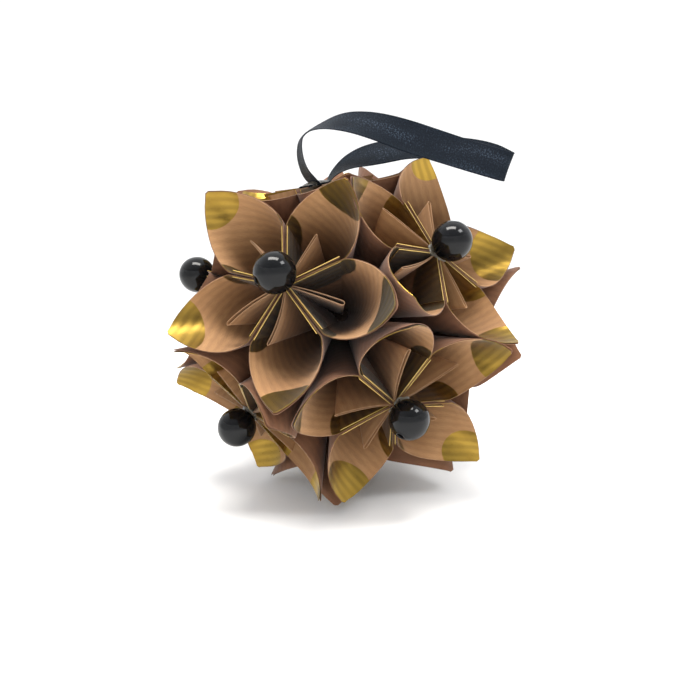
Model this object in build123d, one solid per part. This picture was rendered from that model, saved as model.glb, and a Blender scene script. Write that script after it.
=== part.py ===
from build123d import *
import math
import os

# A folded paper flower ball: twelve five-petal flowers glued into a sphere, a drilled bead glued in
# the heart of eleven of them, and a satin ribbon loop glued in the heart of the twelfth.
# Millimetres and degrees, +Z up. The ball stands as it comes to rest, on one bead and two petal
# tips. The origin is on the surface that it stands on, under the ball's centre.

# ---- driving dimensions -------------------------------------------------------------------------
PAPER_SIDE = 75.0         # each petal is folded from one square of paper with this side
WALL = 0.40               # petal wall: two layers of paper
FLAP = 0.35               # the turned-in flap that lies on the straight part of each wall
FLAP_EDGE = 1.0           # how far the flap's edge stops short of the fold, as an angle
FIN = 0.80                # the pleat that stands in the middle of each petal
FLOWER_PETALS = 5
HALF_PETAL = 180.0 / FLOWER_PETALS
FOLD_ANGLE = 22.5         # outer edge of pleat and flaps, seen from the ball's centre: the wall
                          # stands straight up to it and curves beyond it
PETAL_AXIS = 20.6         # axis of the curved wall's cone, seen from the flower's axis; with it the
                          # wall is as long from seam to tip as the paper's 45 degree corner
PETAL_GAP = 0.05          # glue line between two petals of a flower, on each side
PETAL_START = 8.2         # the petals' points are buried in the lump below this distance
CORE_RADIUS = 8.0         # the lump of glue and petal points in the middle of the ball
BEAD_RADIUS = 5.0
BEAD_HOLE_RADIUS = 0.8
BEAD_HOLE_TILT = 54.0     # the drilled hole lies askew to the flower's axis
BEAD_HOLE_TURN = 292.5    # and points another way in each flower
BEAD_LIFT = 0.15          # film of glue between the bead and the paper under it
GLUE_RADIUS = 3.2
GLUE_HEIGHT = 1.1
JOIN_RADIUS = 2.4         # glue dabs between the petals of neighbouring flowers
JOIN_DISTANCE = 33.0      # their distance from the ball's centre
BALL_YAW = 35.75          # how the ball is turned about the vertical
RIBBON_WIDTH = 10.0
RIBBON_THICKNESS = 0.40
RIBBON_PAD_RADIUS = 6.5   # glue over the ribbon's two ends
RIBBON_PAD_HEIGHT = 0.6
RIBBON_TAB = 4.5          # length of ribbon under the glue, at each end
HINGE_DISTANCE = 39.0     # where the loop folds over, measured from the ball's centre

# ---- derived dimensions -------------------------------------------------------------------------
RIM = PAPER_SIDE / 2                       # height of every straight rim above the ball's centre
TIP_RADIUS = RIM * math.sqrt(2)            # the paper's corner
CONE_HALF = math.degrees(math.acos(
    math.cos(math.radians(PETAL_AXIS)) * math.cos(math.radians(FOLD_ANGLE))
    + math.sin(math.radians(PETAL_AXIS)) * math.sin(math.radians(FOLD_ANGLE))
    * math.cos(math.radians(HALF_PETAL))
))
CURVE_TURN = 180.0 - math.degrees(math.acos(
    (math.cos(math.radians(FOLD_ANGLE))
     - math.cos(math.radians(PETAL_AXIS)) * math.cos(math.radians(CONE_HALF)))
    / (math.sin(math.radians(PETAL_AXIS)) * math.sin(math.radians(CONE_HALF)))
))                                         # turn of the curved wall, from tip to fold
TIP_ANGLE = PETAL_AXIS + CONE_HALF
BEAD_DISTANCE = RIM + BEAD_LIFT + BEAD_RADIUS
NEIGHBOUR = math.degrees(math.atan(2))     # angle between the axes of two neighbouring flowers
BIG = 150.0

# The ball rests on one bead and on the two nearest petal tips of that bead's flower.
REST_REACH = TIP_RADIUS * math.sin(math.radians(TIP_ANGLE)) * math.cos(math.radians(HALF_PETAL))
REST_DROP = TIP_RADIUS * math.cos(math.radians(TIP_ANGLE)) - BEAD_DISTANCE
REST_TILT = math.degrees(
    math.asin(BEAD_RADIUS / math.hypot(REST_REACH, REST_DROP)) - math.atan2(REST_DROP, REST_REACH)
)
CENTRE_HEIGHT = BEAD_DISTANCE * math.cos(math.radians(REST_TILT)) + BEAD_RADIUS

os.makedirs("parts", exist_ok=True)


# ---- helpers ------------------------------------------------------------------------------------
def direction(polar, azimuth=0.0):
    """Unit vector at an angle from +Z, turned about +Z."""
    p = math.radians(polar)
    a = math.radians(azimuth)
    return Vector(math.sin(p) * math.cos(a), math.sin(p) * math.sin(a), math.cos(p))


def keep_side(point, normal):
    """A block that fills the side of a plane that its normal points to."""
    block = Box(BIG, BIG, BIG, align=(Align.CENTER, Align.CENTER, Align.MIN))
    return Plane(origin=point, z_dir=normal) * block


def rim_radius(turn):
    """Length of the ray from the ball's centre to the rim, at a turn about the cone from the tip."""
    along = FOLD_ANGLE + (CURVE_TURN - turn) * math.sin(math.radians(CONE_HALF))
    return RIM / math.cos(math.radians(along))


def cone_ray(turn):
    """Ray of the petal's cone at a turn from the tip, towards +Y."""
    axis = direction(PETAL_AXIS)
    outward = direction(PETAL_AXIS + 90.0)
    t = math.radians(turn)
    side = outward * math.cos(t) + Vector(0, 1, 0) * math.sin(t)
    return axis * math.cos(math.radians(CONE_HALF)) + side * math.sin(math.radians(CONE_HALF))


def show(node, solids):
    """Writes one node, as one solid or as a group of separate solids."""
    shape = solids[0] if len(solids) == 1 else Compound(children=solids)
    export_step(shape, f"parts/{node}.step")
    print(node, len(solids), round(sum(s.volume for s in solids), 2))


# ---- one petal ----------------------------------------------------------------------------------
# The flower's axis is +Z, the petal's middle plane is XZ, and its seam lies on the axis.
INWARD = direction(90.0, HALF_PETAL - 90.0)
INWARD_FAR = direction(90.0, 90.0 - HALF_PETAL)


def curved_wall():
    """The wall round the petal's cone, cut off along its rim on each side of the tip."""
    axis = direction(PETAL_AXIS)
    start = cone_ray(CURVE_TURN)
    inner_normal = (axis - start * start.dot(axis)).normalized()
    far = TIP_RADIUS * 1.2
    corners = [
        start * PETAL_START,
        start * far,
        start * far + inner_normal * WALL,
        start * PETAL_START + inner_normal * WALL,
    ]
    section = Face(Wire.make_polygon(corners, close=True))
    wall = Solid.revolve(section, -2 * CURVE_TURN, Axis((0, 0, 0), axis))
    tip = cone_ray(0.0) * rim_radius(0.0)
    for side in (1, -1):
        middle = cone_ray(side * CURVE_TURN / 2) * rim_radius(CURVE_TURN / 2)
        corner = cone_ray(side * CURVE_TURN) * rim_radius(CURVE_TURN)
        rim = (middle - corner).cross(tip - corner).normalized()
        if rim.dot(tip) > 0:
            rim = rim * -1
        wall = wall & keep_side(corner, rim)
    return wall


def upright(angle, azimuth, thickness, both=False):
    """A flat layer that stands on the seam, from the seam out to an angle from it."""
    p = math.radians(angle)
    corners = [
        (0, PETAL_START),
        (PETAL_START * math.sin(p), PETAL_START * math.cos(p)),
        (RIM * math.tan(p), RIM),
        (0, RIM),
    ]
    along = direction(90.0, azimuth)
    plane = Plane(origin=(0, 0, 0), x_dir=along, z_dir=along.cross(Vector(0, 0, 1)))
    return extrude(plane * Polygon(*corners, align=None), thickness, both=both)


def petal():
    """One folded petal as one closed solid, cut off near its point."""
    sheets = upright(FOLD_ANGLE, 0.0, FIN / 2, both=True)
    sheets = sheets + upright(FOLD_ANGLE, HALF_PETAL, WALL)
    sheets = sheets + upright(FOLD_ANGLE - FLAP_EDGE, HALF_PETAL, WALL + FLAP)
    sheets = sheets + upright(FOLD_ANGLE, -HALF_PETAL, -WALL)
    sheets = sheets + upright(FOLD_ANGLE - FLAP_EDGE, -HALF_PETAL, -WALL - FLAP)
    sheets = sheets & keep_side((0, 0, 0), INWARD) & keep_side((0, 0, 0), INWARD_FAR)
    whole = sheets + curved_wall()
    shift = PETAL_GAP / math.sin(math.radians(HALF_PETAL))
    return (Pos(shift, 0, 0) * whole).solids().sort_by(lambda s: s.volume)[-1]


# ---- places of the twelve flowers ---------------------------------------------------------------
AXES = [direction(0.0)]
AXES += [direction(NEIGHBOUR, 72.0 * k) for k in range(5)]
AXES += [direction(180.0 - NEIGHBOUR, 72.0 * k + 36.0) for k in range(5)]
AXES += [direction(180.0)]

BALL = Pos(0, 0, CENTRE_HEIGHT) * Rot(0, 0, BALL_YAW) * Rot(0, -REST_TILT, 0)


def neighbours(i):
    """The five flowers round flower i."""
    return [j for j in range(12) if j != i and AXES[i].dot(AXES[j]) > 0.4]


def faces():
    """The twenty places where three flowers meet."""
    found = []
    for i in range(12):
        for j in neighbours(i):
            for k in neighbours(i):
                if i < j < k and k in neighbours(j):
                    found.append((i, j, k))
    return found


def flower_place(i):
    """Flower i's own frame: its axis is +Z and its first petal's middle plane is XZ."""
    triple = next(f for f in faces() if i in f)
    middle = AXES[triple[0]] + AXES[triple[1]] + AXES[triple[2]]
    across = middle - AXES[i] * middle.dot(AXES[i])
    return Location(Plane(origin=(0, 0, 0), x_dir=across, z_dir=AXES[i]))


# ---- flowers ------------------------------------------------------------------------------------
PETAL = petal()
for i in range(12):
    petals = []
    for k in range(FLOWER_PETALS):
        place = BALL * flower_place(i) * Rot(0, 0, 72.0 * k)
        petals.append(place * PETAL)
    show(f"flower_{i + 1:02d}", petals)

# ---- beads and the glue under them --------------------------------------------------------------
BEAD = Sphere(BEAD_RADIUS)
DAB = Pos(0, 0, RIM) * Cylinder(
    GLUE_RADIUS, GLUE_HEIGHT, align=(Align.CENTER, Align.CENTER, Align.MIN)
)
DAB = (DAB - Pos(0, 0, BEAD_DISTANCE) * BEAD).solid()
for i in range(1, 12):
    drill = Rot(0, 0, BEAD_HOLE_TURN * i) * Rot(0, BEAD_HOLE_TILT, 0)
    drilled = BEAD - drill * Cylinder(BEAD_HOLE_RADIUS, BEAD_RADIUS * 2.2)
    place = BALL * flower_place(i)
    show(f"bead_{i + 1:02d}", [(place * Pos(0, 0, BEAD_DISTANCE) * drilled).solid()])
    show(f"bead_glue_{i + 1:02d}", [place * DAB])

# ---- glue inside the ball -----------------------------------------------------------------------
show("core_glue", [BALL * Sphere(CORE_RADIUS).solid()])


def join_place(i, j, k):
    """Frame of the glue dab between the petals of flowers i and j that point to flower k."""
    middle = AXES[i] + AXES[j] + AXES[k]
    reach = Vector(0, 0, 0)
    for n in (i, j):
        across = (middle - AXES[n] * middle.dot(AXES[n])).normalized()
        reach = reach + AXES[n] * math.cos(math.radians(PETAL_AXIS))
        reach = reach + across * math.sin(math.radians(PETAL_AXIS))
    z_dir = reach.normalized()
    x_dir = (AXES[j] - AXES[i]).normalized()
    if z_dir.cross(x_dir).dot(middle) < 0:
        x_dir = x_dir * -1
    return Location(Plane(origin=(0, 0, 0), x_dir=x_dir, z_dir=z_dir))


def join_dab():
    """One dab, cut to the two petals that it joins, in its own frame."""
    i, j, k = faces()[0]
    place = join_place(i, j, k)
    dab = Pos(0, 0, JOIN_DISTANCE) * Rot(0, 90, 0) * Cylinder(JOIN_RADIUS, 1.9)
    for n in (i, j):
        for turn in range(FLOWER_PETALS):
            dab = dab - place.inverse() * flower_place(n) * Rot(0, 0, 72.0 * turn) * PETAL
    return dab.solids().sort_by(lambda s: s.volume)[-1]


JOIN = join_dab()
joins = []
for i, j, k in faces():
    for a, b, c in ((i, j, k), (j, k, i), (k, i, j)):
        joins.append(BALL * join_place(a, b, c) * JOIN)
show("join_glue", joins)

# ---- ribbon -------------------------------------------------------------------------------------
# The ribbon's two ends lie flat on the top flower's heart under a pad of glue. Its loop stands up
# from there, arches over to one side and folds back on itself at its far end.
BALL_CENTRE = Vector(0, 0, CENTRE_HEIGHT)
top_place = BALL * flower_place(0)
TOP_AXIS = (top_place * Pos(0, 0, 1)).position - BALL_CENTRE
HINGE = BALL_CENTRE + TOP_AXIS * HINGE_DISTANCE
hinge_axis = (Vector(0, 1, 0) - TOP_AXIS * TOP_AXIS.Y).normalized()
print("paper from fold to tip", CURVE_TURN * math.sin(math.radians(CONE_HALF)), "degrees")
print("hinge at", HINGE, "axis", hinge_axis, "ball centre height", CENTRE_HEIGHT)

pad_frame = Location(Plane(origin=BALL_CENTRE, x_dir=hinge_axis, z_dir=TOP_AXIS))
tab = Box(RIBBON_WIDTH, RIBBON_TAB, RIBBON_THICKNESS, align=(Align.CENTER, Align.MIN, Align.MIN))
tabs = [
    Pos(0, 0.2, RIM) * tab,
    Rot(0, 0, 180) * Pos(0, 0.2, RIM) * tab,
]
pad = Pos(0, 0, RIM) * Cylinder(
    RIBBON_PAD_RADIUS, RIBBON_PAD_HEIGHT, align=(Align.CENTER, Align.CENTER, Align.MIN)
)
pad = pad - tabs[0] - tabs[1]
show("ribbon_ends", [(pad_frame * t).solid() for t in tabs])
show("ribbon_glue", [(pad_frame * pad).solid()])

# Centreline points of the loop and, at each, the direction of the ribbon's width.
ROUTE = [
    ((-4.6, -3.5, 85.9), (-0.02, 0.99, 0.10)),
    ((-7.0, -4.4, 90.2), (-0.20, 0.97, -0.01)),
    ((-8.6, -5.3, 94.8), (-0.17, 0.98, -0.04)),
    ((-6.4, -6.5, 98.7), (-0.24, 0.96, 0.16)),
    ((0.8, -7.8, 100.1), (-0.04, 0.91, 0.41)),
    ((9.7, -9.0, 98.4), (0.12, 0.72, 0.68)),
    ((18.7, -9.8, 95.2), (0.24, 0.46, 0.86)),
    ((26.5, -10.0, 92.4), (0.27, 0.40, 0.88)),
    ((35.3, -10.0, 89.2), (0.26, 0.50, 0.83)),
    ((42.3, -9.8, 86.9), (0.25, 0.55, 0.80)),
    ((45.8, -9.2, 85.9), (0.25, 0.55, 0.80)),
    ((47.3, -7.6, 85.8), (0.25, 0.55, 0.80)),
    ((46.4, -5.8, 86.5), (0.25, 0.55, 0.80)),
    ((43.0, -4.2, 88.8), (0.25, 0.54, 0.80)),
    ((35.5, -1.2, 93.2), (0.19, 0.58, 0.79)),
    ((27.0, 3.0, 97.2), (0.02, 0.70, 0.71)),
    ((18.4, 3.6, 97.0), (-0.12, 0.82, 0.56)),
    ((11.2, 0.0, 93.8), (-0.18, 0.85, 0.48)),
    ((5.4, -2.7, 90.6), (-0.20, 0.93, 0.31)),
    ((0.0, -3.5, 88.0), (-0.19, 0.97, 0.16)),
    ((-3.5, -3.5, 86.0), (-0.02, 0.99, 0.10)),
]
SPANS = 3


def through(values, n, t):
    """Point at t of span n of a smooth curve through the given vectors."""
    last = len(values) - 1
    a = values[max(n - 1, 0)]
    b = values[n]
    c = values[n + 1]
    d = values[min(n + 2, last)]
    m0 = (c - a) * 0.5
    m1 = (d - b) * 0.5
    return (
        b * (2 * t**3 - 3 * t**2 + 1)
        + m0 * (t**3 - 2 * t**2 + t)
        + c * (-2 * t**3 + 3 * t**2)
        + m1 * (t**3 - t**2)
    )


def ribbon_loop():
    """The loop as one closed solid of flat facets, with its own twist along its length."""
    points = [Vector(*p) for p, _ in ROUTE]
    widths = [Vector(*w) for _, w in ROUTE]
    line = []
    wide = []
    for n in range(len(points) - 1):
        for s in range(SPANS):
            line.append(through(points, n, s / SPANS))
            wide.append(through(widths, n, s / SPANS))
    line.append(points[-1])
    wide.append(widths[-1])
    rings = []
    last = len(line) - 1
    for n, here in enumerate(line):
        ahead = (line[min(n + 1, last)] - line[max(n - 1, 0)]).normalized()
        w = (wide[n] - ahead * wide[n].dot(ahead)).normalized() * (RIBBON_WIDTH / 2)
        t = ahead.cross(w).normalized() * (RIBBON_THICKNESS / 2)
        rings.append([here - w - t, here + w - t, here + w + t, here - w + t])
    patches = [rings[0], rings[-1]]
    for a, b in zip(rings, rings[1:]):
        for c in range(4):
            d = (c + 1) % 4
            patches.append([a[c], a[d], b[d]])
            patches.append([a[c], b[d], b[c]])
    skin = [Face(Wire.make_polygon(p, close=True)) for p in patches]
    length = sum((b - a).length for a, b in zip(line, line[1:]))
    print("ribbon loop length", round(length, 1))
    return Solid(Shell(skin))


show("ribbon_loop", [ribbon_loop()])
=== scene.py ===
import bmesh
import bpy
import math
import random
import numpy as np
from mathutils import Matrix, Vector


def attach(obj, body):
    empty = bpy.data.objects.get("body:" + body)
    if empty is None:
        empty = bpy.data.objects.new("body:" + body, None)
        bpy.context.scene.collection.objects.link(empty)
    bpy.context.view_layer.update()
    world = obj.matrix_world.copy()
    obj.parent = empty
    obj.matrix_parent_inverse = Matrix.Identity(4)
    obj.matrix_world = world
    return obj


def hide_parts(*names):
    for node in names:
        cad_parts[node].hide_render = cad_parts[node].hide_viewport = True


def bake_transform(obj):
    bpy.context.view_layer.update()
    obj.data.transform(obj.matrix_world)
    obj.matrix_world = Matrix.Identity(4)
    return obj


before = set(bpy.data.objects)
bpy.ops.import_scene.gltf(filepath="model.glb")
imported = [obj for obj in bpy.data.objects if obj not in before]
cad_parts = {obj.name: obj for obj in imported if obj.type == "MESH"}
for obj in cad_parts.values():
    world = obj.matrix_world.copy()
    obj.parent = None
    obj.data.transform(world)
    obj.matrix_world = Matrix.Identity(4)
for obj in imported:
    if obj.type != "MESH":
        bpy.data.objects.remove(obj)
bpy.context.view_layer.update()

# A ball of folded paper flowers. Lengths here are millimetres until mm() turns them into metres,
# and angles are degrees until rad() turns them into radians.

# ---- dimensions shared with the CAD --------------------------------------------------------------
PAPER_SIDE = 75.0
RIM = PAPER_SIDE / 2                 # height of the petals' straight rims above the ball's centre
TIP_RADIUS = RIM * math.sqrt(2)
FOLD_ANGLE = 22.5                    # from the flower's axis to the end of a straight wall
HALF_PETAL = 36.0
PETAL_AXIS = 20.6                    # from the flower's axis to the axis of a petal's round part
BEAD_RADIUS = 5.0
BEAD_HOLE_RADIUS = 0.8
BEAD_HOLE_TILT = 54.0
BEAD_HOLE_TURN = 292.5               # from one bead's hole to the next one's
BEAD_LIFT = 0.15
BEAD_DISTANCE = RIM + BEAD_LIFT + BEAD_RADIUS
BALL_YAW = 35.75
RIBBON_WIDTH = 10.0


def rad(a):
    return math.radians(a)


def mm(points):
    return np.asarray(points) * 0.001


def direction(polar, azimuth=0.0):
    p, a = rad(polar), rad(azimuth)
    return np.array([math.sin(p) * math.cos(a), math.sin(p) * math.sin(a), math.cos(p)])


def unit(v):
    return v / np.linalg.norm(v)


def turn_z(angle):
    return np.array(Matrix.Rotation(rad(angle), 3, "Z"))


def turn_y(angle):
    return np.array(Matrix.Rotation(rad(angle), 3, "Y"))


# A petal's round part is part of a cone: half its opening angle, and how far round it goes.
CONE_HALF = math.degrees(math.acos(
    math.cos(rad(PETAL_AXIS)) * math.cos(rad(FOLD_ANGLE))
    + math.sin(rad(PETAL_AXIS)) * math.sin(rad(FOLD_ANGLE)) * math.cos(rad(HALF_PETAL))
))
CURVE_TURN = 180.0 - math.degrees(math.acos(
    (math.cos(rad(FOLD_ANGLE)) - math.cos(rad(PETAL_AXIS)) * math.cos(rad(CONE_HALF)))
    / (math.sin(rad(PETAL_AXIS)) * math.sin(rad(CONE_HALF)))
))

# The ball rests on the bottom bead and two petal tips, which gives its tilt and its height.
TIP_ANGLE = PETAL_AXIS + CONE_HALF
REACH = TIP_RADIUS * math.sin(rad(TIP_ANGLE)) * math.cos(rad(HALF_PETAL))
DROP = TIP_RADIUS * math.cos(rad(TIP_ANGLE)) - BEAD_DISTANCE
REST_TILT = math.degrees(math.asin(BEAD_RADIUS / math.hypot(REACH, DROP)) - math.atan2(DROP, REACH))
CENTRE = np.array([0.0, 0.0, BEAD_DISTANCE * math.cos(rad(REST_TILT)) + BEAD_RADIUS])
BALL = turn_z(BALL_YAW) @ turn_y(-REST_TILT)

# The flowers face the twelve corners of an icosahedron, the first one up.
FLOWERS = 12
PETALS = 5
PETAL_TURN = 360.0 / PETALS
NEIGHBOUR = math.degrees(math.atan(2))
AXES = [direction(0.0)]
AXES += [direction(NEIGHBOUR, PETAL_TURN * k) for k in range(PETALS)]
AXES += [direction(180.0 - NEIGHBOUR, PETAL_TURN * k + HALF_PETAL) for k in range(PETALS)]
AXES += [direction(180.0)]


def neighbours(i, j):
    """Whether two flowers lie side by side: the cosine between their axes is then 0.447."""
    return i != j and AXES[i] @ AXES[j] > 0.4


def flower_turn(flower):
    """Rotation of a flower: its axis is +Z and its first petal's middle plane is XZ."""
    i = flower - 1
    for a in range(FLOWERS):
        for b in range(a + 1, FLOWERS):
            for c in range(b + 1, FLOWERS):
                if i in (a, b, c) and neighbours(a, b) and neighbours(b, c) and neighbours(a, c):
                    middle = AXES[a] + AXES[b] + AXES[c]
                    x = unit(middle - AXES[i] * (middle @ AXES[i]))
                    return BALL @ np.stack([x, np.cross(AXES[i], x), AXES[i]], 1)


def add_object(name, data):
    obj = bpy.data.objects.new(name, data)
    bpy.context.scene.collection.objects.link(obj)
    return obj


def smooth_mesh(name, points, faces, *materials):
    """A smooth-shaded mesh from points in metres."""
    mesh = bpy.data.meshes.new(name)
    mesh.from_pydata(points, [], faces)
    for material in materials:
        mesh.materials.append(material)
    mesh.shade_smooth()
    return mesh


def part_of_ball(obj, node):
    """Puts a piece on the ball in place of a CAD node."""
    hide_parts(node)
    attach(obj, "ball")


# ---- camera --------------------------------------------------------------------------------------
CAMERA_PLACE = (0.00313, -0.19862, 0.07012)
CAMERA_TURN = Vector((-0.1593, 0.0492, 0.0017))      # from looking along +Y: its axis times its angle
SENSOR_WIDTH = 36.0
LENS = 36.31

camera = add_object("camera", bpy.data.cameras.new("camera"))
camera.location = CAMERA_PLACE
look_turn = Matrix.Rotation(CAMERA_TURN.length, 4, CAMERA_TURN.normalized())
camera.rotation_mode = "QUATERNION"
camera.rotation_quaternion = (look_turn @ Matrix.Rotation(rad(90), 4, "X")).to_quaternion()
camera.data.sensor_width = SENSOR_WIDTH
camera.data.lens = LENS
camera.data.clip_start = 0.01
bpy.context.scene.camera = camera


# ---- materials -----------------------------------------------------------------------------------
PAPER_UV = 100.0                     # millimetres of paper in one unit of its UV map
RIB_PITCH = 2.1
CLOTH_UV = 20                        # units of the ribbon's UV map in one metre


def linear(r, g, b):
    """Scene colour of a display colour given as 0 to 255."""
    out = []
    for c in (r, g, b):
        c = c / 255
        out.append(c / 12.92 if c <= 0.04045 else ((c + 0.055) / 1.055) ** 2.4)
    return (*out, 1.0)


class Look:
    """A material with its Principled shader, and short calls for the nodes that feed it."""

    def __init__(self, name, **values):
        self.material = bpy.data.materials.new(name)
        self.material.use_nodes = True
        self.tree = self.material.node_tree
        self.shader = self.tree.nodes["Principled BSDF"]
        for key, value in values.items():
            self.shader.inputs[key.replace("_", " ")].default_value = value

    def node(self, kind, **settings):
        made = self.tree.nodes.new(kind)
        for key, value in settings.items():
            setattr(made, key, value)
        return made

    def put(self, value, socket):
        if isinstance(value, bpy.types.NodeSocket):
            self.tree.links.new(value, socket)
        else:
            socket.default_value = value

    def place(self):
        """Where a point is on its piece, in metres."""
        return self.node("ShaderNodeTexCoord").outputs["Object"]

    def uv(self, name):
        return self.node("ShaderNodeUVMap", uv_map=name).outputs[0]

    def math(self, operation, a, b=0.0, c=0.0):
        made = self.node("ShaderNodeMath", operation=operation)
        for n, value in enumerate((a, b, c)):
            self.put(value, made.inputs[n])
        return made.outputs[0]

    def noise(self, vector, scale, detail=3.0, rough=0.5):
        made = self.node("ShaderNodeTexNoise")
        self.put(vector, made.inputs["Vector"])
        made.inputs["Scale"].default_value = scale
        made.inputs["Detail"].default_value = detail
        made.inputs["Roughness"].default_value = rough
        return made.outputs["Fac"]

    def stretch(self, vector, scale):
        made = self.node("ShaderNodeVectorMath", operation="MULTIPLY")
        self.put(vector, made.inputs[0])
        made.inputs[1].default_value = scale
        return made.outputs[0]

    def ramp(self, value, low, high, to_low=0.0, to_high=1.0):
        made = self.node("ShaderNodeMapRange", interpolation_type="SMOOTHSTEP")
        for n, v in enumerate((value, low, high, to_low, to_high)):
            self.put(v, made.inputs[n])
        return made.outputs[0]

    def mix(self, factor, a, b, blend="MIX"):
        """A mix of two colours, which are the node's inputs 6 and 7."""
        made = self.node("ShaderNodeMix", data_type="RGBA", blend_type=blend)
        self.put(factor, made.inputs[0])
        self.put(a, made.inputs[6])
        self.put(b, made.inputs[7])
        return made.outputs[2]

    def mix_value(self, factor, a, b):
        made = self.node("ShaderNodeMix", data_type="FLOAT")
        self.put(factor, made.inputs[0])
        self.put(a, made.inputs[2])
        self.put(b, made.inputs[3])
        return made.outputs[0]

    def distance(self, vector, point):
        made = self.node("ShaderNodeVectorMath", operation="DISTANCE")
        self.put(vector, made.inputs[0])
        made.inputs[1].default_value = point
        return made.outputs["Value"]

    def length(self, vector):
        made = self.node("ShaderNodeVectorMath", operation="LENGTH")
        self.put(vector, made.inputs[0])
        return made.outputs["Value"]

    def bump(self, height, strength, distance):
        made = self.node("ShaderNodeBump")
        made.inputs["Strength"].default_value = strength
        made.inputs["Distance"].default_value = distance
        self.put(height, made.inputs["Height"])
        self.put(made.outputs[0], self.shader.inputs["Normal"])

    def feed(self, **links):
        for key, value in links.items():
            self.put(value, self.shader.inputs[key.replace("_", " ")])


def paper_look(name, light, dark, rib, gold_amount=1.0):
    """Ribbed kraft wrap printed with metallic gold dots, with painted shade that darkens it deep
    inside the ball.
    """
    look = Look(name, Specular_IOR_Level=0.35, Sheen_Weight=0.12, Sheen_Roughness=0.5)
    uv = look.uv("paper")
    place = look.place()
    mottle = look.noise(place, 90.0, 3.0, 0.55)
    fleck = look.noise(place, 1800.0, 2.0, 0.7)
    fibres = look.noise(look.stretch(uv, (60.0, 900.0, 1.0)), 1.0, 4.0, 0.6)

    across = look.node("ShaderNodeSeparateXYZ")
    look.put(uv, across.inputs[0])
    drift = look.math("MULTIPLY", look.noise(uv, 6.0, 2.0), 0.9)
    phase = look.math("MULTIPLY_ADD", across.outputs[1], PAPER_UV / RIB_PITCH, drift)
    wave = look.math("SINE", look.math("MULTIPLY", phase, 2 * math.pi))
    ribs = look.ramp(look.math("MULTIPLY_ADD", fibres, 0.9, wave), -0.5, 1.45)

    kraft = look.mix(look.ramp(mottle, 0.3, 0.7), light, dark)
    kraft = look.mix(look.math("MULTIPLY", ribs, 0.22), kraft, rib)
    kraft = look.mix(look.math("MULTIPLY", look.ramp(fibres, 0.42, 0.66), 0.30), kraft, rib)
    kraft = look.mix(look.math("MULTIPLY", look.ramp(fleck, 0.62, 0.8), 0.25), kraft, rib)

    # The dot's UV map is 1 away from its middle at the dot's edge, which is a little ragged.
    ragged = look.math("MULTIPLY_ADD", fleck, 0.03, 0.985)
    from_middle = look.math("MULTIPLY", look.length(look.uv("dot")), ragged)
    gold = look.ramp(from_middle, 0.985, 1.015, gold_amount, 0.0)
    shine = look.mix(look.math("MULTIPLY", ribs, 0.45), linear(156, 127, 54), linear(106, 84, 36))
    shine = look.mix(look.ramp(mottle, 0.45, 0.75), shine, linear(138, 110, 44))

    colour = look.mix(gold, kraft, shine)
    # Painted shade: from 55 mm in to 16 mm from the ball's centre the colour is multiplied darker and
    # redder, standing in for the shadow deep in the cups.
    outward = look.ramp(look.distance(place, mm(CENTRE)), 0.016, 0.055)
    shaded = look.mix(1.0, colour, (0.22, 0.17, 0.15, 1.0), "MULTIPLY")
    look.feed(
        Base_Color=look.mix(outward, shaded, colour),
        Metallic=look.math("MULTIPLY", gold, 0.92),
        Roughness=look.mix_value(gold, look.math("MULTIPLY_ADD", fibres, 0.14, 0.62),
                                 look.math("MULTIPLY_ADD", fibres, 0.16, 0.22)),
    )
    height = look.math("MULTIPLY_ADD", wave, 0.5, look.math("MULTIPLY", fibres, 0.8))
    look.bump(height, 0.35, 0.00006)
    return look.material


def bead_look():
    """Glossy black plastic with a faint haze and some dust."""
    look = Look("black_bead", Specular_IOR_Level=0.22)
    place = look.place()
    haze = look.noise(place, 260.0, 3.0)
    dust = look.ramp(look.noise(place, 2600.0, 2.0, 0.7), 0.74, 0.80)
    black = look.mix(haze, linear(7, 8, 9), linear(14, 15, 18))
    look.feed(
        Base_Color=look.mix(look.math("MULTIPLY", dust, 0.35), black, linear(150, 150, 150)),
        Roughness=look.math("MULTIPLY_ADD", haze, 0.12, 0.04),
    )
    look.bump(haze, 0.05, 0.0001)
    return look.material


def clear_glue_look():
    """Milky hot glue that lets some light through."""
    look = Look("hot_glue", Transmission_Weight=0.7, IOR=1.48, Subsurface_Weight=0.2,
                Subsurface_Radius=(0.002, 0.002, 0.0018), Subsurface_Scale=0.5)
    cloud = look.noise(look.place(), 500.0, 3.0)
    look.feed(
        Base_Color=look.mix(cloud, linear(160, 154, 142), linear(122, 116, 104)),
        Roughness=look.math("MULTIPLY_ADD", cloud, 0.3, 0.15),
    )
    look.bump(cloud, 0.3, 0.0002)
    return look.material


def shade_dark_glue_look():
    """Glue deep between the petals and at the ball's heart, coloured as dark as the shadow it lies
    in: painted shade.
    """
    look = Look("shade_dark_glue", Specular_IOR_Level=0.12)
    cloud = look.noise(look.place(), 400.0, 3.0)
    look.feed(
        Base_Color=look.mix(cloud, linear(44, 33, 26), linear(32, 24, 19)),
        Roughness=look.math("MULTIPLY_ADD", cloud, 0.2, 0.6),
    )
    look.bump(cloud, 0.3, 0.0002)
    return look.material


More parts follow.
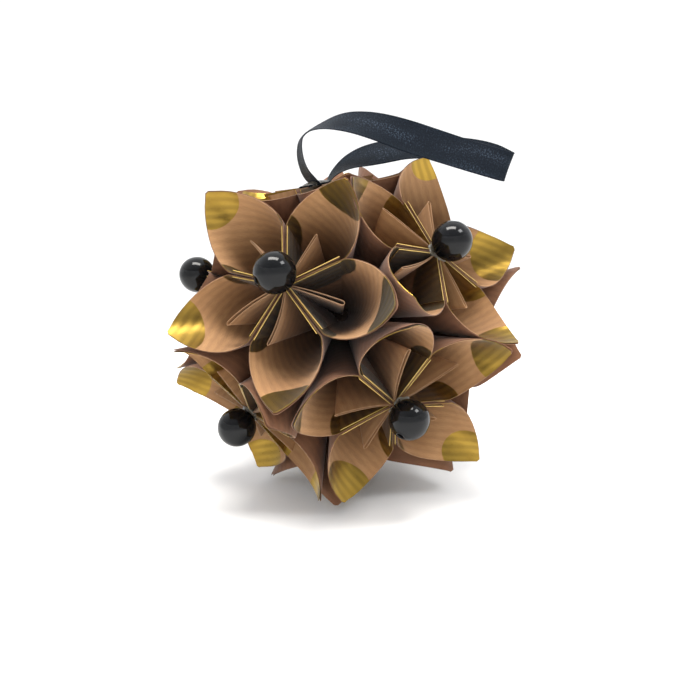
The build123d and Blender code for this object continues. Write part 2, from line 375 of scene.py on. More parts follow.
def satin_look():
    """Blue-black satin: fine weave, soft creases, and painted glints: pale specks of grain, most of
    them in one patch of painted sheen.
    """
    look = Look("black_satin", Sheen_Weight=0.02, Sheen_Roughness=0.35,
                Sheen_Tint=linear(120, 140, 175), Specular_IOR_Level=0.06,
                Specular_Tint=(0.55, 0.75, 1.0, 1.0))
    uv = look.uv("cloth")
    weave = look.node("ShaderNodeTexWave", wave_type="BANDS", bands_direction="DIAGONAL")
    look.put(uv, weave.inputs["Vector"])
    weave.inputs["Scale"].default_value = 90.0
    weave.inputs["Distortion"].default_value = 1.2
    weave.inputs["Detail"].default_value = 2.0
    warp = look.noise(look.stretch(uv, (520.0, 24.0, 1.0)), 1.0, 3.0, 0.6)
    crease = look.noise(look.stretch(uv, (14.0, 9.0, 1.0)), 1.0, 3.0, 0.6)
    grain = look.ramp(look.noise(look.stretch(uv, (100.0, 120.0, 1.0)), 1.0, 3.0, 0.75), 0.48, 0.72)
    sheen_patch = look.ramp(look.noise(look.stretch(uv, (8.0, 2.2, 1.0)), 1.0, 2.0), 0.42, 0.66)
    shade = look.math("MULTIPLY_ADD", warp, 0.6, look.math("MULTIPLY", crease, 0.4))
    thread = look.mix(shade, linear(4, 5, 8), linear(18, 23, 30))
    # Painted glints: pale blue-grey specks, most of them in one patch that stands in for the satin's
    # sheen.
    painted_glint = look.math("MULTIPLY", grain, look.math("MULTIPLY_ADD", sheen_patch, 0.80, 0.12))
    look.feed(
        Base_Color=look.mix(painted_glint, thread, linear(74, 86, 102)),
        Roughness=look.math("MULTIPLY_ADD", warp, 0.22, 0.38),
    )
    threads = look.math("MULTIPLY_ADD", warp, 0.7, weave.outputs["Fac"])
    look.bump(look.math("MULTIPLY_ADD", crease, 2.0, threads), 0.35, 0.00012)
    return look.material


def floor_look():
    look = Look("floor", Roughness=0.7)
    grain = look.noise(look.place(), 40.0, 2.0)
    look.feed(Base_Color=look.mix(grain, linear(252, 252, 251), linear(249, 249, 249)))
    return look.material


# The paper's faces and cut edges. A mesh's faces name them by their place in PAPER.
PAPER = [
    paper_look("kraft_inside", linear(184, 140, 94), linear(166, 123, 80), linear(116, 82, 54)),
    # The outer faces' darker, redder kraft is partly the back of the paper and partly painted shade.
    paper_look("kraft_outside", linear(136, 93, 63), linear(118, 78, 51), linear(86, 56, 38), 0.0),
    paper_look("kraft_edge", linear(190, 150, 110), linear(174, 134, 96), linear(150, 112, 78)),
    paper_look("gilt_edge", linear(246, 214, 120), linear(234, 198, 104), linear(210, 172, 84), 0.0),
]
INSIDE, OUTSIDE, EDGE, GILT_EDGE = range(len(PAPER))
BEAD = bead_look()
CLEAR_GLUE = clear_glue_look()
SHADE_DARK_GLUE = shade_dark_glue_look()
SATIN = satin_look()


# ---- paper sheets --------------------------------------------------------------------------------
# Angles along a petal's wall: 0 at its tip, and half of the square's corner at the flower's axis.
HALF_CORNER = 45.0
BETAS = np.array([-45, -41, -37, -33, -29, -25.5, -22.5, -21, -19, -17, -15, -13, -11, -9, -7, -5,
                  -3.2, -1.6, -0.5])
BETAS = np.concatenate([BETAS, -BETAS[::-1]])
FLAP_ANGLES = np.array([1.2, 5.0, 9.0, 13.0, 17.0, 20.0, 21.4])      # from the flower's axis
PLEAT_ANGLES = np.array([0.8, 4, 8, 12, 16, 19, 21.2])               # from the flower's axis
PLEAT_FOLD = np.radians([30, 60, 90, 120, 150])                      # round its outer fold
# How far out a sheet's rows of points are: 0 is its start, that far from the ball's centre, and 1
# is its rim.
DEPTHS = np.array([0.18, 0.34, 0.5, 0.64, 0.76, 0.85, 0.92, 0.97, 1.0])
WALL_START = 1.2
FOLDED_START = 9.0                   # of the flaps and the pleat
LAYER_CLOSE = 12.0                   # nearer the centre than this, the layers lie closer together
TIP_ROUND = 3.2                      # degrees beside the tip in which its point is worn round
TIP_OPEN = 9.0                       # degrees beside the tip in which its two layers part
INNER_SPLIT, OUTER_SPLIT = 0.35, 0.65        # each layer's share of that parting
FOLD_BLEND = 4.0                     # degrees in which the straight wall turns into the round one
WAVE_START, WAVE_BLEND = 24, 8       # degrees along the paper: only the round wall is wavy
SHEET_HALF = 0.05
FLAP_HALF = 0.08
PLEAT_HALF = 0.12                    # where it is pressed flat
PLEAT_ROUND = 1.0                    # its outer fold's radius, in degrees from the flower's axis
INNER_LAYER, OUTER_LAYER, FLAP_LAYER = 0.27, 0.09, 0.44              # inward from the CAD's wall
OUTER_SHIFT, PLEAT_SHIFT = 31.0, 17.0        # other places on the paper, so that no ribs line up
PLEAT_PITCH = np.array([1.0, 0.93])
PAPER_SHARP = 38

# Gold dots: how far from the ball's centre, and how far round from the petal's tip.
DOT_RADIUS = 38.6
WALL_DOT_ANGLE = 31.0
FLAP_DOT_ANGLE = 33.0
FLAP_DOT_EXTRA = 1.2
TIP_DOT_INSET = 3.4
TIP_DOT_REACH = 14                   # a sheet's part nearer to the tip than this has the tip's dot
NO_DOT = [300.0, 300.0, 1.0]


class Stack:
    """Collects thin closed sheets, and makes one mesh of them."""

    def __init__(self):
        self.points = []
        self.quads = []
        self.paper = []
        self.flat = []
        self.faces = []
        self.spots = []
        self.count = 0

    def sheet(self, grid, half, paper, flat, spots, looks):
        """A closed sheet of paper, half its thickness to each side of a grid of points.

        paper is each point's place along and across the ribs, flat its place on the square, spots
        says which gold dot is nearest to a place on the square, and looks are those of the front,
        the back and the cut edge."""
        nu, nv = grid.shape[:2]
        du, dv = np.gradient(grid, axis=0), np.gradient(grid, axis=1)
        normal = np.cross(du, dv)
        normal /= np.linalg.norm(normal, axis=2, keepdims=True) + 1e-12
        for side in (half, -half):
            self.points.append((grid + normal * side).reshape(-1, 3))
            self.paper.append(paper.reshape(-1, 2))
            self.flat.append(flat.reshape(-1, 2))
        near = np.arange(nu * nv).reshape(nu, nv)
        a, b, c, d = near[:-1, :-1], near[1:, :-1], near[1:, 1:], near[:-1, 1:]
        front = np.stack([a, b, c, d], -1).reshape(-1, 4)
        back = front[:, ::-1] + nu * nv
        ring = np.concatenate([near[:, 0], near[-1, 1:], near[-2::-1, -1], near[0, -2:0:-1]])
        far_ring = ring + nu * nv
        rim = np.stack([ring, far_ring, np.roll(far_ring, -1), np.roll(ring, -1)], -1)
        both = np.concatenate([flat.reshape(-1, 2)] * 2)
        for quads, look in zip((front, back, rim), looks):
            self.quads.append(quads + self.count)
            self.faces.append(np.full(len(quads), look))
            self.spots.append(spots(both[quads].mean(axis=1)))
        self.count += 2 * nu * nv

    def add(self, other, turn):
        """Takes over another stack's sheets, turned about the ball's centre."""
        self.points += [points @ turn.T + CENTRE for points in other.points]
        self.quads += [quads + self.count for quads in other.quads]
        self.paper += other.paper
        self.flat += other.flat
        self.faces += other.faces
        self.spots += other.spots
        self.count += other.count

    def mesh(self, name):
        points = mm(np.concatenate(self.points))
        quads = np.concatenate(self.quads)
        spots = np.concatenate(self.spots)
        mesh = smooth_mesh(name, points.tolist(), quads.tolist(), *PAPER)
        paper = np.concatenate(self.paper)[quads] / PAPER_UV
        mesh.uv_layers.new(name="paper").data.foreach_set("uv", paper.reshape(-1))
        dot = (np.concatenate(self.flat)[quads] - spots[:, None, :2]) / spots[:, None, 2:]
        mesh.uv_layers.new(name="dot").data.foreach_set("uv", dot.reshape(-1))
        mesh.polygons.foreach_set("material_index", np.concatenate(self.faces).astype(np.int32))
        mesh.set_sharp_from_angle(angle=rad(PAPER_SHARP))
        mesh.update()
        return mesh


def wall_ray(beta):
    """Ray of the petal's wall, at an angle along the paper from the tip."""
    side = 1.0 if beta >= 0 else -1.0
    along = HALF_CORNER - abs(beta)
    if along <= FOLD_ANGLE:
        return direction(along, side * HALF_PETAL)
    turn = rad(CURVE_TURN * abs(beta) / (HALF_CORNER - FOLD_ANGLE))
    outward = direction(PETAL_AXIS + 90.0) * math.cos(turn) + np.array([0, side * math.sin(turn), 0])
    return direction(PETAL_AXIS) * math.cos(rad(CONE_HALF)) + outward * math.sin(rad(CONE_HALF))


ALONG = HALF_CORNER - np.abs(BETAS)
RAYS = np.array([wall_ray(b) for b in BETAS])
INWARD = np.cross(RAYS, np.gradient(RAYS, axis=0))
INWARD /= np.linalg.norm(INWARD, axis=1, keepdims=True)


def on_square(radius, beta):
    """Place on the flat square, with its tip straight up."""
    return np.stack([radius * np.sin(np.radians(beta)), radius * np.cos(np.radians(beta))], -1)


def along_ribs(flat, flip):
    """The same places measured along and across the ribs, which follow one side of the square."""
    x, y = flat[..., 0] * (-1 if flip else 1), flat[..., 1]
    return np.stack([(x - y) / math.sqrt(2), (x + y) / math.sqrt(2)], -1)


def no_dots(flat):
    return np.tile(NO_DOT, (len(flat), 1))


# Petals that hands have pushed out of the regular shape, by flower and petal: push is the tip's
# shift in the ball's resting place, fin_* say how the pleat leans, how far it reaches and how open
# it is, and the rest place the gold dot and turn the ribs.
BENT = {
    (2, 1): {"push": (-3.0, 2.0, -2.2)},
    (4, 2): {"push": (2.5, 0.0, 0.3)},
    (4, 3): {"push": (3.2, 1.0, -0.4)},
    (4, 4): {"push": (4.2, 2.0, -1.0)},
    (5, 0): {"push": (-1.0, 0.0, 0.3), "fin_turn": -3.0, "fin_bend": 4.0, "fin_open": 0.08,
             "tip_dot": 7.2, "ribs_flip": True},
    (5, 1): {"push": (-0.6, 0.0, -1.2), "fin_reach": 25.0, "fin_turn": 3.0, "tip_dot": 7.8,
             "ribs_flip": True},
    (5, 2): {"push": (0.4, 0.0, -1.8), "fin_turn": -16.0, "fin_bend": -3.0, "fin_open": 0.25,
             "tip_dot": 7.0},
    (5, 3): {"push": (0.9, 0.0, -0.6), "fin_turn": -4.0, "fin_bend": 0.0, "fin_open": 0.4,
             "tip_dot": 7.8},
    (5, 4): {"push": (0.9, 0.0, -2.2), "fin_reach": 21.0, "fin_turn": 2.0, "fin_open": 0.15,
             "tip_dot": 8.2, "ribs_flip": True},
    (6, 0): {"push": (-2.8, 0.0, -0.8), "tip_dot": 5.6, "slip": (0.0, 1.2), "ribs_flip": True},
    (6, 1): {"push": (-3.4, 0.0, -2.8), "fin_reach": 26.0, "fin_turn": -3.0, "fin_open": 0.2},
    (6, 2): {"fin_turn": -17.0, "fin_reach": 25.0},
    (6, 4): {"push": (-0.8, 0.0, 0.6), "tip_dot": 10.4},
    (9, 0): {"push": (2.2, 0.0, -0.8)},
    (9, 1): {"push": (1.2, 0.0, 1.8), "tip_dot": 8.6},
    (9, 2): {"push": (1.2, 0.0, 1.8), "tip_dot": 8.0},
    (10, 0): {"fin_turn": -10.0, "fin_reach": 24.0},
    (10, 1): {"fin_turn": 10.0, "fin_bend": 2.0, "fin_open": 0.2},
    (10, 2): {"push": (1.2, 0.0, -0.3)},
    (10, 3): {"push": (5.4, 0.0, 1.4), "fin_turn": 14.0, "fin_bend": 3.0},
    (10, 4): {"push": (0.9, 0.0, 3.0), "fin_reach": 27.0},
}
TOP_FLOWER = 1
TOP_TIPS = np.array([-0.5, 0.0, -4.5])       # the top flower's tips are pressed down


class Petal:
    """What differs from petal to petal in a ball that was folded by hand."""

    def __init__(self, flower, number, turn):
        rng = random.Random(1000 * flower + number)
        self.tip = np.array([rng.uniform(-0.9, 0.5), rng.uniform(-0.8, 0.8), rng.uniform(-0.6, 0.4)])
        self.rounding = rng.uniform(0.2, 1.2)
        self.split = rng.uniform(0.05, 0.8)
        self.wave = [(rng.uniform(0.05, 0.22), rng.uniform(3, 9), rng.uniform(0, 6.28))
                     for _ in range(3)]
        self.gap = [rng.uniform(0.01, 0.15), rng.uniform(0.01, 0.15)]
        self.lift = [rng.uniform(0.03, 0.38), rng.uniform(0.03, 0.38)]
        self.rise = [rng.uniform(-0.35, 0.15), rng.uniform(-0.35, 0.15)]
        self.fin_turn = rng.uniform(-6, 6)
        self.fin_bend = rng.uniform(-5, 5)
        self.fin_reach = rng.uniform(21.5, 23.5)
        self.fin_open = rng.uniform(0.10, 0.42)
        self.fin_drop = rng.uniform(-0.3, 1.0)
        self.ribs_flip = rng.random() < 0.5
        self.tip_dot = rng.uniform(6.4, 8.6)
        self.wall_dot = rng.uniform(7.0, 9.5)
        self.slip = (rng.uniform(-1.6, 1.6), rng.uniform(-1.2, 1.2))
        self.push = None
        for key, value in BENT.get((flower, number), {}).items():
            setattr(self, key, value)
        if flower == TOP_FLOWER:
            self.tip = self.tip + TOP_TIPS
        if self.push:
            self.tip = turn.T @ np.array(self.push)

    def bend(self, points, radius, beta):
        """Points of the regular wall where this petal's paper has them, its tip pushed aside."""
        reach = np.clip(radius / TIP_RADIUS, 0, 1)
        middle = np.maximum(np.cos(np.radians(1.8 * beta)), 0) ** 2
        return points + (reach**3.2 * middle)[..., None] * self.tip

    def wall_dots(self, flat):
        """The dot at the petal's tip, or the one on its straight wall: x, y and radius."""
        beta = np.degrees(np.arctan2(flat[:, 0], flat[:, 1]))
        out = np.empty((len(flat), 3))
        for n in range(len(flat)):
            if abs(beta[n]) < TIP_DOT_REACH:
                out[n] = (self.slip[0], TIP_RADIUS - TIP_DOT_INSET + self.slip[1], self.tip_dot)
            else:
                b = math.copysign(rad(WALL_DOT_ANGLE), beta[n])
                out[n] = (DOT_RADIUS * math.sin(b), DOT_RADIUS * math.cos(b), self.wall_dot)
        return out

    def flap_dots(self, flat):
        x = np.sign(flat[:, 0]) * DOT_RADIUS * math.sin(rad(FLAP_DOT_ANGLE))
        y = np.full(len(flat), DOT_RADIUS * math.cos(rad(FLAP_DOT_ANGLE)))
        return np.stack([x, y, np.full(len(flat), self.wall_dot + FLAP_DOT_EXTRA)], -1)

    def build(self, stack):
        self.walls(stack)
        for n, side in enumerate((1, -1)):
            self.flap(stack, n, side)
        self.pleat(stack)

    def walls(self, stack):
        """The two layers of the petal's wall, wavy at the rim and a little apart at the tip."""
        rim = RIM / np.cos(np.radians(ALONG))
        rim = rim - self.rounding * np.exp(-((BETAS / TIP_ROUND) ** 2))
        radius = WALL_START + (rim[:, None] - WALL_START) * DEPTHS[None, :]
        beta = np.broadcast_to(BETAS[:, None], radius.shape)
        base = RAYS[:, None, :] * radius[..., None]
        inward = np.broadcast_to(INWARD[:, None, :], base.shape)
        top = (radius / rim[:, None]) ** 3
        straight = np.clip((FOLD_ANGLE + FOLD_BLEND / 2 - ALONG) / FOLD_BLEND, 0, 1)
        gap = np.where(BETAS > 0, self.gap[0], self.gap[1])[:, None] * top * straight[:, None]
        wavy = np.clip((ALONG - WAVE_START) / WAVE_BLEND, 0, 1)[:, None]
        for size, pitch, phase in self.wave:
            gap = gap + size * np.sin(np.radians(beta * pitch) + phase) * top**2 * wavy
        tipness = np.exp(-((BETAS / TIP_OPEN) ** 2))[:, None] * (radius / TIP_RADIUS) ** 10
        spread = np.minimum(radius / LAYER_CLOSE, 1.0)
        inner = (INNER_LAYER + INNER_SPLIT * self.split * tipness) * spread + gap
        outer = (OUTER_LAYER - OUTER_SPLIT * self.split * tipness) * spread + gap
        flat = on_square(radius, beta)
        paper = along_ribs(flat, self.ribs_flip)
        stack.sheet(self.bend(base + inward * inner[..., None], radius, beta), SHEET_HALF,
                    paper, flat, self.wall_dots, (OUTSIDE, INSIDE, EDGE))
        stack.sheet(self.bend(base + inward * outer[..., None], radius, beta), SHEET_HALF,
                    paper[:, :, ::-1] + OUTER_SHIFT, flat, no_dots, (OUTSIDE, OUTSIDE, OUTSIDE))

    def flap(self, stack, n, side):
        """A corner of the square folded in against the straight wall, with a gold cut edge."""
        rim = RIM / np.cos(np.radians(FLAP_ANGLES)) + self.rise[n]
        radius = FOLDED_START + (rim[:, None] - FOLDED_START) * DEPTHS[None, :]
        rays = np.array([direction(a, side * HALF_PETAL) for a in FLAP_ANGLES])
        inward = direction(90.0, side * (HALF_PETAL - 90.0))
        top = (radius / rim[:, None]) ** 3
        lifted = self.lift[n] * (FLAP_ANGLES[:, None] / FLAP_ANGLES[-1]) ** 2 * top
        off = FLAP_LAYER + self.gap[n] * top + lifted
        grid = rays[:, None, :] * radius[..., None] + inward * off[..., None]
        beta = side * (HALF_CORNER - np.broadcast_to(FLAP_ANGLES[:, None], radius.shape))
        flat = on_square(radius, beta)
        paper = along_ribs(flat, not self.ribs_flip)
        front, back = (INSIDE, OUTSIDE) if side > 0 else (OUTSIDE, INSIDE)
        stack.sheet(grid, FLAP_HALF, paper, flat, self.flap_dots, (front, back, GILT_EDGE))

    def pleat(self, stack):
        """The pleat in the middle of the petal: a flattened tube with a round outer fold."""
        spread = PLEAT_ANGLES / FOLD_ANGLE * self.fin_reach
        widening = np.sqrt(np.clip(spread / self.fin_reach, 0, 1)) * 0.9 + 0.1
        fold = self.fin_reach - PLEAT_ROUND + np.sin(PLEAT_FOLD) * PLEAT_ROUND
        radial = np.concatenate([spread, fold, spread[::-1]])
        offset = np.concatenate([widening, np.cos(PLEAT_FOLD), -widening[::-1]])
        outward = radial / FOLD_ANGLE
        rim = (RIM - self.fin_drop * outward**2) / np.cos(np.radians(radial))
        radius = FOLDED_START + (rim[:, None] - FOLDED_START) * DEPTHS[None, :]
        top = (radius / rim[:, None]) ** 2
        turn = self.fin_turn * outward**0.8 + self.fin_bend * outward**2
        rays = np.array([direction(r, t) for r, t in zip(radial, turn)])
        across = np.array([direction(90.0, t + 90.0) for t in turn])
        off = offset[:, None] * (PLEAT_HALF + self.fin_open * top)
        grid = rays[:, None, :] * radius[..., None] + across[:, None, :] * off[..., None]
        beta = np.broadcast_to((HALF_CORNER - radial)[:, None], radius.shape)
        flat = on_square(radius, beta)
        paper = along_ribs(flat, self.ribs_flip)[:, :, ::-1] * PLEAT_PITCH + PLEAT_SHIFT
        stack.sheet(grid, SHEET_HALF, paper, flat, no_dots, (INSIDE, INSIDE, EDGE))


def make_flower(flower):
    """A flower's five petals as one piece."""
    stack = Stack()
    turn = flower_turn(flower)
    for number in range(PETALS):
        petal = Stack()
        petal_turn = turn @ turn_z(PETAL_TURN * number)
        Petal(flower, number, petal_turn).build(petal)
        stack.add(petal, petal_turn)
    name = f"flower_{flower:02d}"
    obj = add_object(f"paper_{name}", stack.mesh(f"paper_{name}"))
    part_of_ball(obj, name)


# ---- beads ---------------------------------------------------------------------------------------
BEAD_LIP = 0.22
BEAD_ROWS = 33
BEAD_SEGMENTS = 56
# Beads that were glued on a little to one side of their flower's heart: the shift in the ball's
# resting place.
BEAD_SHIFT = {4: (0.9, 0.0, 0.3), 5: (0.0, 0.0, 1.5), 10: (1.5, 0.0, -0.3)}
NO_SHIFT = (0, 0, 0)


def bead_profile():
    """A drilled bead, as radius and height: round outside, a soft lip at each end of its hole."""
    first = math.degrees(math.asin((BEAD_HOLE_RADIUS + BEAD_LIP) / BEAD_RADIUS))
    outside = [(BEAD_RADIUS * math.sin(rad(a)), BEAD_RADIUS * math.cos(rad(a)))
               for a in np.linspace(first, 180 - first, BEAD_ROWS)]
    z = BEAD_RADIUS * math.cos(rad(first))
    inside = [(BEAD_HOLE_RADIUS, v) for v in (-z + 0.30, -1.5, 1.5, z - 0.30)]
    lip = [(BEAD_HOLE_RADIUS + 0.05, z - 0.13), (BEAD_HOLE_RADIUS + 0.12, z - 0.04)]
    low_lip = [(r, -v) for r, v in lip[::-1]]
    return [(r * 0.001, v * 0.001) for r, v in lip + outside + low_lip + inside]


def lathe(name, profile, segments, material):
    """A closed ring of quads: the profile, radius and height, turned round the Z axis."""
    count = len(profile)
    points, quads = [], []
    for s in range(segments):
        a = 2 * math.pi * s / segments
        for r, z in profile:
            points.append((r * math.cos(a), r * math.sin(a), z))
    for s in range(segments):
        t = (s + 1) % segments
        for n in range(count):
            m = (n + 1) % count
            quads.append((s * count + n, t * count + n, t * count + m, s * count + m))
    return add_object(name, smooth_mesh(name, points, quads, material))


def make_bead(flower, profile):
    bead = lathe(f"round_bead_{flower:02d}", profile, BEAD_SEGMENTS, BEAD)
    turn = flower_turn(flower)
    spin = turn @ turn_z(BEAD_HOLE_TURN * (flower - 1)) @ turn_y(BEAD_HOLE_TILT)
    shift = np.array(BEAD_SHIFT.get(flower, NO_SHIFT))
    spot = mm(CENTRE + turn @ np.array([0, 0, BEAD_DISTANCE]) + shift)
    bead.data.transform(Matrix.Translation(Vector(spot)) @ Matrix(spin.tolist()).to_4x4())
    part_of_ball(bead, f"bead_{flower:02d}")


# ---- hot glue ------------------------------------------------------------------------------------
GLUE_RINGS = 14
GLUE_SEGMENTS = 40
# The dabs between neighbouring flowers: each CAD dab drawn in a little, so that the thinner paper
# of the petals still hides it.
JOIN_SHRINK = 0.12
JOIN_SINK = 0.001


def glue(name, node, turn, radius, height, sink, seed, level=RIM, shift=NO_SHIFT,
         material=CLEAR_GLUE):
    """A lump of hot glue that has run out a little and set: radius wide, height up, sink down."""
    rng = random.Random(seed)
    ripples = [(rng.uniform(0.04, 0.13), n, rng.uniform(0, 6.28)) for n in (2, 3, 5, 7)]
    points, quads = [], []
    for r in range(GLUE_RINGS + 1):
        a = math.pi * r / GLUE_RINGS
        z = height * math.cos(a) if a < math.pi / 2 else sink * math.cos(a)
        for s in range(GLUE_SEGMENTS):
            b = 2 * math.pi * s / GLUE_SEGMENTS
            wide = radius * (1 + sum(k * math.sin(n * b + p) for k, n, p in ripples))
            swell = 1 + 0.08 * math.sin(3 * b + seed) * math.sin(2 * a)
            points.append((wide * math.sin(a) * math.cos(b), wide * math.sin(a) * math.sin(b),
                           level + z * swell))
    points = np.array(points) @ turn.T + CENTRE + np.array(shift)
    for r in range(GLUE_RINGS):
        a, b = r * GLUE_SEGMENTS, (r + 1) * GLUE_SEGMENTS
        for s in range(GLUE_SEGMENTS):
            t = (s + 1) % GLUE_SEGMENTS
            quads.append((a + s, b + s, b + t, a + t))
    obj = add_object(name, smooth_mesh(name, mm(points).tolist(), quads, material))
    part_of_ball(obj, node)


def make_bead_glue(flower):
    rng = random.Random(flower)
    radius, height = rng.uniform(2.3, 2.8), rng.uniform(0.5, 0.9)
    glue(f"glue_{flower:02d}", f"bead_glue_{flower:02d}", flower_turn(flower), radius, height,
         sink=0.9, seed=flower, shift=BEAD_SHIFT.get(flower, NO_SHIFT))


def separate_dabs(shape):
    """The vertices of each separate solid in a BMesh."""
    seen = set()
    for first in shape.verts:
        dab, reached = [], [first]
        while reached:
            vertex = reached.pop()
            if vertex not in seen:
                seen.add(vertex)
                dab.append(vertex)
                reached += [edge.other_vert(vertex) for edge in vertex.link_edges]
        if dab:
            yield dab


def make_joins():
    """The CAD's dabs between neighbouring flowers, each one smaller and a little further in."""
    shape = bmesh.new()
    shape.from_mesh(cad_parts["join_glue"].data)
    for dab in separate_dabs(shape):
        centre = sum((v.co for v in dab), Vector()) / len(dab)
        outward = (centre - Vector(mm(CENTRE))).normalized()
        for vertex in dab:
            vertex.co = centre + (vertex.co - centre) * JOIN_SHRINK - outward * JOIN_SINK
    mesh = bpy.data.meshes.new("glue_joins")
    shape.to_mesh(mesh)
    shape.free()
    mesh.materials.clear()
    mesh.materials.append(SHADE_DARK_GLUE)
    mesh.shade_smooth()
    part_of_ball(add_object("glue_joins", mesh), "join_glue")


# ---- ribbon --------------------------------------------------------------------------------------
# The ribbon's route, close to the CAD's, and at each point the direction of its width. It starts
# and ends in the glue on the top flower's heart.
ROUTE = [
    ((-4.7, -3.3, 84.2), (-0.34, 0.93, 0.10)),
    ((-6.0, -3.5, 85.4), (-0.34, 0.94, 0.05)),
    ((-8.1, -4.2, 88.4), (-0.22, 0.97, 0.02)),
    ((-9.0, -4.9, 93.0), (-0.20, 0.98, 0.00)),
    ((-8.1, -5.8, 97.1), (-0.16, 0.98, 0.04)),
    ((-3.2, -7.0, 99.0), (-0.06, 0.97, 0.24)),
    ((3.4, -8.1, 99.8), (0.02, 0.80, 0.60)),
    ((10.8, -9.0, 98.3), (0.14, 0.62, 0.77)),
    ((18.7, -9.8, 95.4), (0.25, 0.48, 0.84)),
    ((26.5, -10.0, 92.5), (0.28, 0.50, 0.82)),
    ((35.0, -10.0, 89.4), (0.32, 0.53, 0.79)),
    ((41.8, -9.8, 87.2), (0.37, 0.50, 0.78)),
    ((44.9, -9.2, 86.2), (0.40, 0.51, 0.76)),
    ((46.6, -7.8, 86.0), (0.40, 0.51, 0.76)),
    ((45.7, -6.2, 86.8), (0.40, 0.51, 0.76)),
    ((42.4, -5.2, 88.9), (0.36, 0.52, 0.78)),
    ((36.5, -3.4, 91.0), (0.22, 0.60, 0.77)),
    ((28.5, -0.4, 92.8), (0.02, 0.72, 0.69)),
    ((20.5, 0.9, 93.3), (-0.08, 0.77, 0.63)),
    ((14.0, 0.2, 92.5), (-0.15, 0.73, 0.66)),
    ((8.8, -1.4, 91.4), (-0.25, 0.76, 0.59)),
    ((4.6, -2.7, 90.1), (-0.28, 0.87, 0.40)),
    ((1.3, -3.3, 88.3), (-0.18, 0.95, 0.24)),
    ((-1.0, -3.5, 86.2), (-0.10, 0.98, 0.16)),
    ((-2.2, -3.3, 84.2), (-0.06, 0.99, 0.10)),
]
# Across the ribbon from one selvedge to the other, and half its thickness there.
ACROSS = np.array([-1.0, -0.985, -0.95, -0.90, -0.6, -0.3, 0.0, 0.3, 0.6, 0.90, 0.95, 0.985, 1.0])
HALF_THICK = np.array([0.05, 0.10, 0.12, 0.085, 0.075, 0.075, 0.075, 0.075, 0.075, 0.085, 0.12,
                       0.10, 0.05])
RIBBON_SHARP = 50
RIBBON_SEED = 5


def spline(points):
    """Points along a smooth NURBS curve with these control points."""
    curve = bpy.data.curves.new("route", "CURVE")
    curve.dimensions = "3D"
    line = curve.splines.new("NURBS")
    line.points.add(len(points) - 1)
    for p, at in zip(line.points, points):
        p.co = (*at, 1.0)
    line.order_u = 3
    line.use_endpoint_u = True
    line.resolution_u = 10
    holder = add_object("route", curve)
    read = bpy.data.meshes.new_from_object(holder)
    found = np.array([v.co for v in read.vertices], float)
    bpy.data.objects.remove(holder)
    bpy.data.meshes.remove(read)
    return found


def unit_rows(vectors):
    return vectors / np.linalg.norm(vectors, axis=1, keepdims=True)


def ribbon_quads(rows, count):
    """Quads of a closed band of rows, each of them count points above and count points below."""
    quads = []
    for n in range(rows - 1):
        a, b = 2 * n * count, 2 * (n + 1) * count
        for c in range(count - 1):
            quads.append((a + c, a + c + 1, b + c + 1, b + c))
            quads.append((a + count + c + 1, a + count + c, b + count + c, b + count + c + 1))
        quads.append((a, b, b + count, a + count))
        quads.append((a + count - 1, a + 2 * count - 1, b + 2 * count - 1, b + count - 1))
    for end in (0, 2 * (rows - 1) * count):
        for c in range(count - 1):
            quad = (end + c, end + count + c, end + count + c + 1, end + c + 1)
            quads.append(quad if end == 0 else quad[::-1])
    return quads


def ribbon_mesh(middle, run):
    """The ribbon's band along its middle line; run is the distance along that line."""
    edge = spline([mm(np.array(p) + np.array(w) * RIBBON_WIDTH / 2) for p, w in ROUTE])
    wide = unit_rows(edge - middle)
    up = unit_rows(np.cross(wide, unit_rows(np.gradient(middle, axis=0))))
    rng = random.Random(RIBBON_SEED)
    cup = sum(rng.uniform(0.08, 0.2) * np.sin(run * rng.uniform(60, 260) + rng.uniform(0, 6))
              for _ in range(4))
    from_middle = ACROSS * mm(RIBBON_WIDTH / 2)
    points, cloth = [], []
    for n in range(len(middle)):
        bow = mm(cup[n] * (1 - ACROSS**2) * 0.8)
        line = middle[n] + np.outer(from_middle, wide[n]) + np.outer(bow, up[n])
        for side in (1, -1):
            points.append(line + np.outer(mm(HALF_THICK) * side, up[n]))
            cloth.append(np.stack([from_middle, np.full(len(ACROSS), run[n])], 1) * CLOTH_UV)
    quads = ribbon_quads(len(middle), len(ACROSS))
    mesh = smooth_mesh("satin_ribbon", np.concatenate(points).tolist(), quads, SATIN)
    uv = np.concatenate(cloth)[np.array(quads).reshape(-1)]
    mesh.uv_layers.new(name="cloth").data.foreach_set("uv", uv.reshape(-1))
    mesh.set_sharp_from_angle(angle=rad(RIBBON_SHARP))
    return mesh


def make_ribbon():
    """The loop, and the look of the CAD's ends."""
    middle = spline([mm(p) for p, _ in ROUTE])
    run = np.concatenate([[0], np.cumsum(np.linalg.norm(np.diff(middle, axis=0), axis=1))])
    ribbon = add_object("satin_ribbon", ribbon_mesh(middle, run))
    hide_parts("ribbon_loop")
    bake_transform(ribbon)
    mm(RIBBON_WIDTH).item()
    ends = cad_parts["ribbon_ends"].data
    ends.materials.clear()
    ends.materials.append(SATIN)


# ---- floor and light -----------------------------------------------------------------------------
# The floor's rings, as radius and height in metres: flat, then rising to a bowl's rim.
BOWL = [(0.25, 0.0), (0.7, 0.0), (0.9, 0.012), (1.1, 0.06), (1.3, 0.16), (1.5, 0.34),
        (1.65, 0.60), (1.72, 0.9)]
FLOOR_SEGMENTS = 96
SKY_COLOUR = (0.97, 0.98, 1.0, 1.0)
SKY_RANGE = (-0.8, 0.15)             # from in front to behind, and the sky's strength at both ends
SKY_STRENGTH = (0.65, 1.45)
AIM = (0, 0, 0.05)


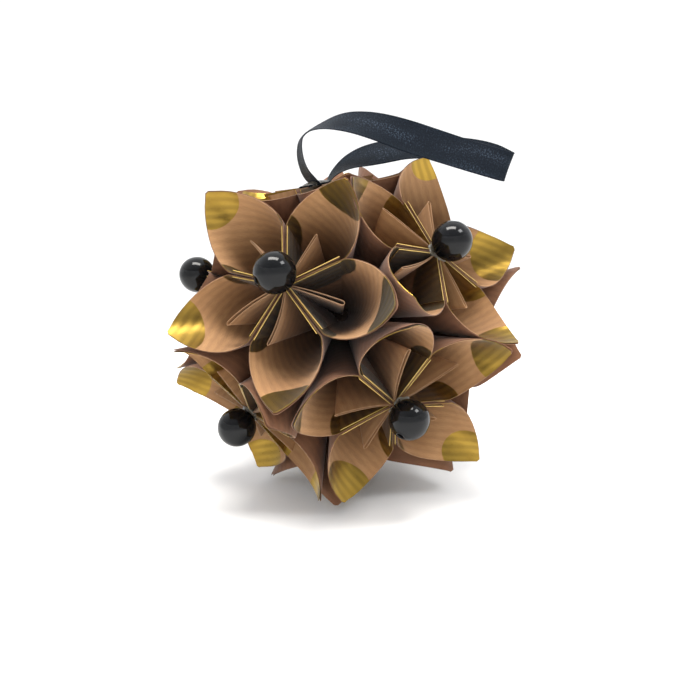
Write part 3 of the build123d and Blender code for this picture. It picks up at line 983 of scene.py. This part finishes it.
def make_floor():
    points, quads = [(0.0, 0.0, 0.0)], []
    for radius, height in BOWL:
        for s in range(FLOOR_SEGMENTS):
            a = 2 * math.pi * s / FLOOR_SEGMENTS
            points.append((radius * math.cos(a), radius * math.sin(a), height))
    for s in range(FLOOR_SEGMENTS):
        t = (s + 1) % FLOOR_SEGMENTS
        quads.append((0, 1 + s, 1 + t))
        for r in range(len(BOWL) - 1):
            a, b = 1 + r * FLOOR_SEGMENTS, 1 + (r + 1) * FLOOR_SEGMENTS
            quads.append((a + s, b + s, b + t, a + t))
    add_object("floor", smooth_mesh("floor", points, quads, floor_look()))


def make_sky():
    """Soft light from all round, stronger from behind the ball than from in front."""
    world = bpy.data.worlds.new("studio")
    world.use_nodes = True
    tree = world.node_tree
    background = tree.nodes["Background"]
    background.inputs["Color"].default_value = SKY_COLOUR
    place = tree.nodes.new("ShaderNodeTexCoord")
    split = tree.nodes.new("ShaderNodeSeparateXYZ")
    fade = tree.nodes.new("ShaderNodeMapRange")
    tree.links.new(place.outputs["Generated"], split.inputs[0])
    tree.links.new(split.outputs[1], fade.inputs[0])
    for n, value in enumerate(SKY_RANGE + SKY_STRENGTH):
        fade.inputs[n + 1].default_value = value
    tree.links.new(fade.outputs[0], background.inputs["Strength"])
    bpy.context.scene.world = world
    bpy.context.scene.view_settings.view_transform = "Standard"


def area_light(name, at, size, power, colour=(1, 1, 1)):
    light = bpy.data.lights.new(name, "AREA")
    light.shape = "RECTANGLE"
    light.size, light.size_y = size
    light.energy = power
    light.color = colour
    obj = add_object(name, light)
    obj.location = at
    obj.rotation_euler = (Vector(AIM) - Vector(at)).to_track_quat("-Z", "Y").to_euler()


# ---- all of it -----------------------------------------------------------------------------------
bead_outline = bead_profile()
for flower in range(1, FLOWERS + 1):
    make_flower(flower)
for flower in range(2, FLOWERS + 1):
    make_bead(flower, bead_outline)
for flower in range(2, FLOWERS + 1):
    make_bead_glue(flower)
glue("glue_ribbon", "ribbon_glue", flower_turn(TOP_FLOWER), radius=4.2, height=1.2, sink=1.0,
     seed=77)
# The hot glue at the ball's heart, made large and shadow-dark: painted shade that fills the open
# apexes of the cups, where light would show through.
glue("glue_core", "core_glue", BALL, radius=6.2, height=6.4, sink=6.4, seed=78, level=0.0,
     material=SHADE_DARK_GLUE)
make_joins()
make_ribbon()
make_floor()
make_sky()
area_light("ceiling", at=(-0.02, -0.14, 0.75), size=(0.50, 0.20), power=7.0,
           colour=(1.0, 0.97, 0.92))
area_light("key", at=(0.42, -0.22, 0.55), size=(0.22, 0.16), power=1.7)
